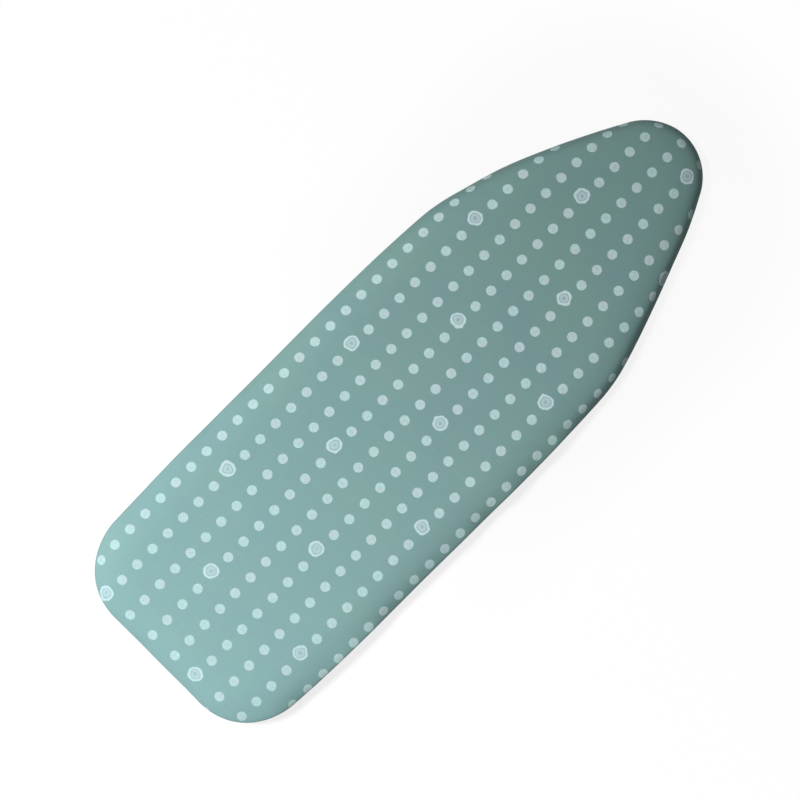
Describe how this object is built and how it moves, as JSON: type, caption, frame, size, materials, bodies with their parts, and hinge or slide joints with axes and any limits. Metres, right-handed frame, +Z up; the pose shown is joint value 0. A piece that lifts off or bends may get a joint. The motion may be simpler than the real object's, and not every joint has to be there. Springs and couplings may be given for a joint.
{
  "type": "ironing board cover",
  "caption": "Padded ironing board cover with a tapered nose and a polka-dot print, its edge turned under and held by a drawcord with a spring cord lock.",
  "frame": {"origin": "middle of the underside, where the hem casing rests: bottom centre of the box", "axes": "+X towards the tapered nose, +Y across the board, +Z up through the ironing surface"},
  "size_m": [1.024, 0.364, 0.043],
  "materials": {
    "printed_cotton": "matte",
    "foam": "matte",
    "felt": "matte",
    "hem_tape": "matte",
    "thread": "matte",
    "cord": "matte",
    "lock_plastic": "satin",
    "spring_steel": "satin",
    "label_tape": "matte"
  },
  "bodies": {
    "cover": {"printed_cover": "printed_cotton", "foam_pad": "foam", "felt_backing": "felt", "hem_casing": "hem_tape", "hem_thread": "thread", "casing_bartack_left": "thread", "casing_bartack_right": "thread", "care_label": "label_tape", "drawcord": "cord", "cord_end_bell": "lock_plastic", "cord_end_cap": "lock_plastic"},
    "cord_lock": {"cord_lock_body": "lock_plastic", "cord_lock_spring": "spring_steel"},
    "lock_button": {"cord_lock_button": "lock_plastic"}
  },
  "joints": [
    {"name": "cord_lock_slide", "type": "slide", "parent": "cover", "child": "cord_lock", "axis": [1, 0, 0], "range_m": [0, 0.034]},
    {"name": "button_press", "type": "slide", "parent": "cord_lock", "child": "lock_button", "axis": [0, -1, 0], "range_m": [0, 0.003], "stiffness_N_per_m": 300, "deforming": ["cord_lock_spring"]}
  ]
}
